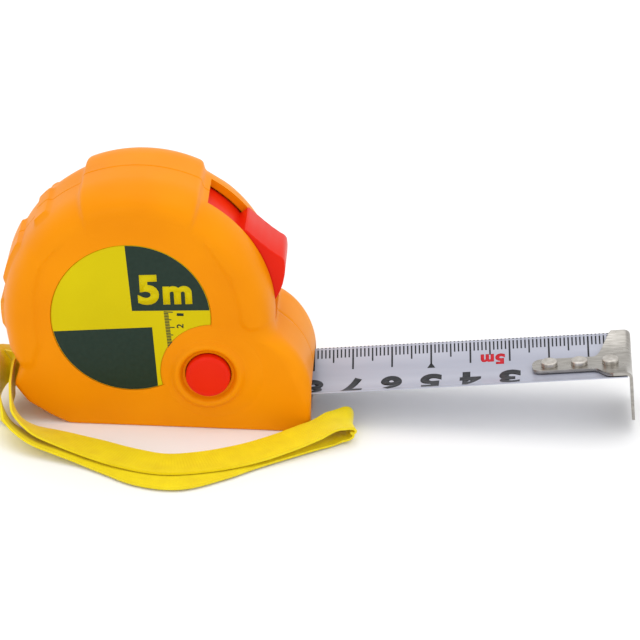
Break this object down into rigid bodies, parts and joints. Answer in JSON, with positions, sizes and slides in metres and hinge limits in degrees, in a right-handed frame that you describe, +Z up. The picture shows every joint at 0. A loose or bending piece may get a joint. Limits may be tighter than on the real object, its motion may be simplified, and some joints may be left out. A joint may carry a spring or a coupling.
{
  "type": "retractable pocket tape measure",
  "caption": "Pocket tape measure with a moulded orange case, concave steel blade pulled part way out, end hook, thumb lock, side brake button and ribbon wrist strap.",
  "frame": {"origin": "on the case's flat underside, straight below the centre of the round label", "axes": "+X out of the mouth along the blade, +Y from the front (label and button) cover to the back cover, +Z up"},
  "size_m": [0.1624, 0.0678, 0.0642],
  "materials": {
    "case_plastic": "smooth moulded ABS, satin gloss",
    "label": "printed vinyl disc, yellow and dark green",
    "steel": "bright plated steel",
    "hook_steel": "nickel plated pressed steel",
    "dark_plastic": "black moulded plastic",
    "strap_ribbon": "woven satin ribbon",
    "blade_enamel": "white enamel with printed graduations",
    "red_plastic": "moulded red plastic",
    "black_rubber": "matt rubber"
  },
  "bodies": {
    "case": {"front_cover": "case_plastic", "back_cover": "case_plastic", "front_label": "label", "back_label": "label", "case_screw_1": "steel", "case_screw_2": "steel", "case_screw_3": "steel", "case_screw_4": "steel", "brake_lever_pin": "steel", "strap_pin": "steel", "mouth_plate": "steel", "centre_post": "dark_plastic", "button_spring": "steel", "strap": "strap_ribbon"},
    "blade": {"blade": "blade_enamel", "hook_rivet_1": "hook_steel", "hook_rivet_2": "hook_steel", "hook_rivet_3": "hook_steel"},
    "hook": {"end_hook": "hook_steel"},
    "spool": {"spool": "dark_plastic", "spring_cover": "dark_plastic", "tape_coil": "blade_enamel", "power_spring": "steel"},
    "lock": {"thumb_lock": "red_plastic"},
    "lever": {"brake_lever": "dark_plastic", "brake_pad": "black_rubber"},
    "button": {"side_button": "red_plastic", "button_pad": "black_rubber"}
  },
  "joints": [
    {"name": "tape_slide", "type": "slide", "parent": "case", "child": "blade", "axis": [0.9949, 0, 0.1011], "range_m": [-0.078, 0.035], "deforming": ["blade"]},
    {"name": "spool_spin", "type": "hinge", "parent": "case", "child": "spool", "pos_m": [0.0015, 0, 0.0285], "axis": [0, -1, 0], "range_deg": [-172, 78], "deforming": ["power_spring"]},
    {"name": "hook_play", "type": "slide", "parent": "blade", "child": "hook", "axis": [0.9949, 0, 0.1011], "range_m": [0, 0.0009]},
    {"name": "thumb_lock_slide", "type": "hinge", "parent": "case", "child": "lock", "pos_m": [0.0015, 0, 0.0283], "axis": [0, -1, 0], "range_deg": [0, 14]},
    {"name": "brake_lever_swing", "type": "hinge", "parent": "case", "child": "lever", "pos_m": [0.0385, 0, 0.0142], "axis": [0, 1, 0], "range_deg": [0, 2.8]},
    {"name": "side_button_press", "type": "slide", "parent": "case", "child": "button", "axis": [0, 1, 0], "range_m": [0, 0.0012], "stiffness_N_per_m": 1500, "deforming": ["button_spring"]}
  ],
  "couplings": [
    {"joint": "spool_spin", "follows": "tape_slide", "rad_per_m": 38.023},
    {"joint": "brake_lever_swing", "follows": "thumb_lock_slide", "ratio": 0.2}
  ]
}
